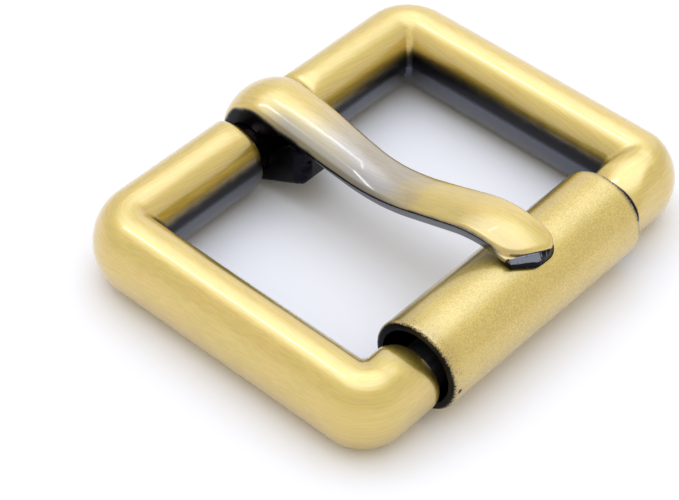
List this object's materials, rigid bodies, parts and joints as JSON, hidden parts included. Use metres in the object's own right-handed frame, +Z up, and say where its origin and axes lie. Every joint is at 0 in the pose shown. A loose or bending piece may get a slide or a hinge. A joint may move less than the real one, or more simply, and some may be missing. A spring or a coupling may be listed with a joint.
{
  "type": "roller buckle",
  "caption": "Rectangular belt buckle with a cast frame, a loose roller and a hinged tongue that rests on the roller.",
  "frame": {"origin": "centre of the overall footprint, on the plane that the frame rests on", "axes": "+X from the prong bar to the roller, +Y along the roller, +Z up from the resting plane to the tongue"},
  "size_m": [0.0299, 0.0358, 0.0087],
  "materials": {
    "antique_brass": "brushed antique brass plating, dark oxide left in the inner faces",
    "satin_brass": "satin antique brass plating with a fine grain, dark oxide on the ends",
    "plain_steel": "plain drawn steel"
  },
  "bodies": {
    "frame": {"frame": "antique_brass", "roller_pin": "plain_steel"},
    "roller": {"roller": "satin_brass"},
    "tongue": {"tongue": "antique_brass"}
  },
  "joints": [
    {"name": "roller_spin", "type": "hinge", "parent": "frame", "child": "roller", "pos_m": [0.01155, -0.00034, 0.00355], "axis": [0, 1, 0], "continuous": true},
    {"name": "tongue_swing", "type": "hinge", "parent": "frame", "child": "tongue", "pos_m": [-0.01155, 0, 0.00312], "axis": [0, -1, 0], "range_deg": [0, 165]}
  ]
}
